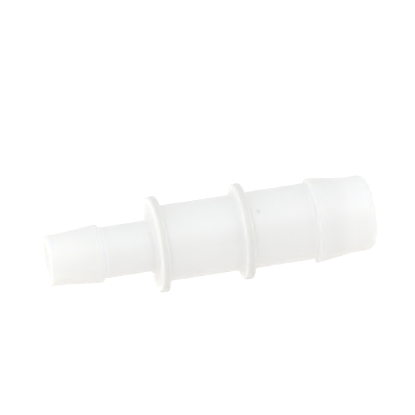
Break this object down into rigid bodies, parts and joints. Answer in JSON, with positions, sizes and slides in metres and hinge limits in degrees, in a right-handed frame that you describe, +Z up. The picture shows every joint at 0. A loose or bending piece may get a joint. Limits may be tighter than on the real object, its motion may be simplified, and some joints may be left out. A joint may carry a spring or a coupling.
{
  "type": "push fit coupling",
  "caption": "Straight reducing coupling in milky plastic: a small and a large flexible hose push over its barbed ends up to the collars, and liquid flows through its stepped bore.",
  "frame": {"origin": "on the bore's axis, halfway between the two end faces", "axes": "+X along the bore from the small barb to the large barb, +Z up; the part is round about X"},
  "size_m": [0.0836, 0.0244, 0.0244],
  "materials": {
    "natural_plastic": "natural milky translucent plastic, satin as moulded"
  },
  "bodies": {
    "root": {"coupling_body": "natural_plastic"}
  },
  "joints": []
}
